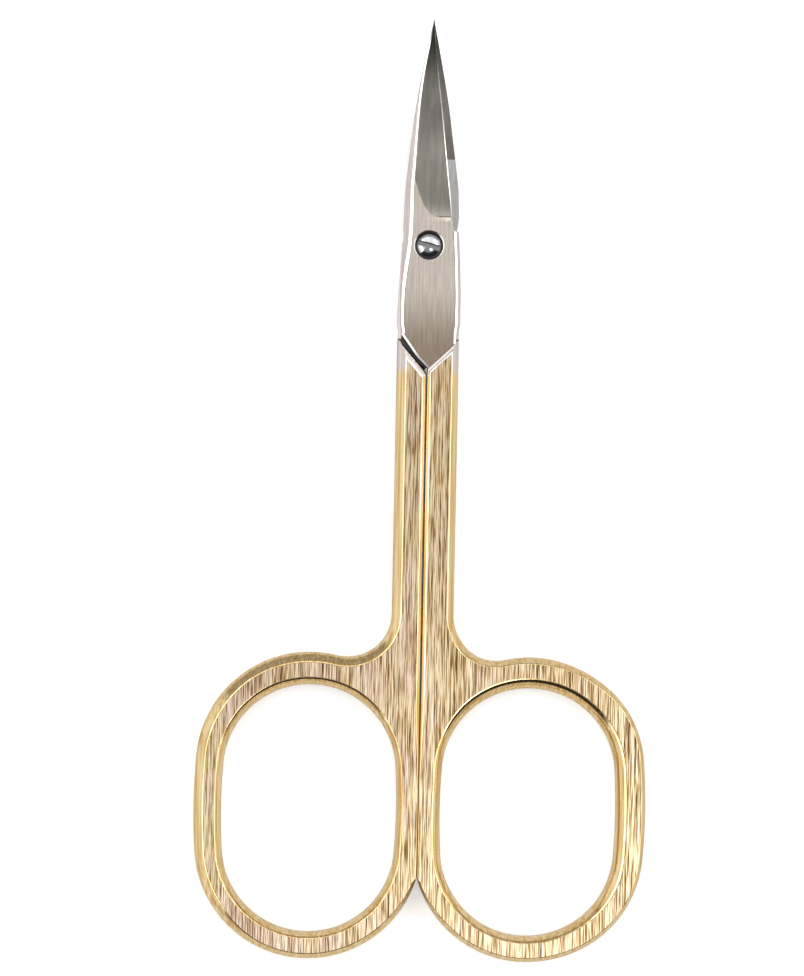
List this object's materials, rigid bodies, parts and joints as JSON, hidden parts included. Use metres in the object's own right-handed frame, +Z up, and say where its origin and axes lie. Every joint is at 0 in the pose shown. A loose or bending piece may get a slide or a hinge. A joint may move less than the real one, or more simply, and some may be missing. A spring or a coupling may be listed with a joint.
{
  "type": "cuticle scissors",
  "caption": "Small curved cuticle scissors with oval finger loops, slim straight shanks, a screwed flat joint and short pointed blades that curve upwards.",
  "frame": {"origin": "middle of the closed scissors' footprint, on the surface they lie on", "axes": "+Y from the finger loops to the blade tips, +Z up through the screw towards its head, +X towards the finger loop of the upper half"},
  "size_m": [0.043, 0.09, 0.0058],
  "materials": {
    "gold_plated_steel": "forged steel with champagne-gold plating on loops and shanks, brushed along the length on the flat faces; joint plates satin bare steel, blades polished bare steel",
    "polished_steel": "polished bare steel"
  },
  "bodies": {
    "rear": {"rear_half": "gold_plated_steel", "pivot_screw": "polished_steel"},
    "front": {"front_half": "gold_plated_steel"}
  },
  "joints": [
    {"name": "pivot", "type": "hinge", "parent": "rear", "child": "front", "pos_m": [0, 0.02363, 0], "axis": [0, 0, 1], "range_deg": [0, 100]}
  ]
}
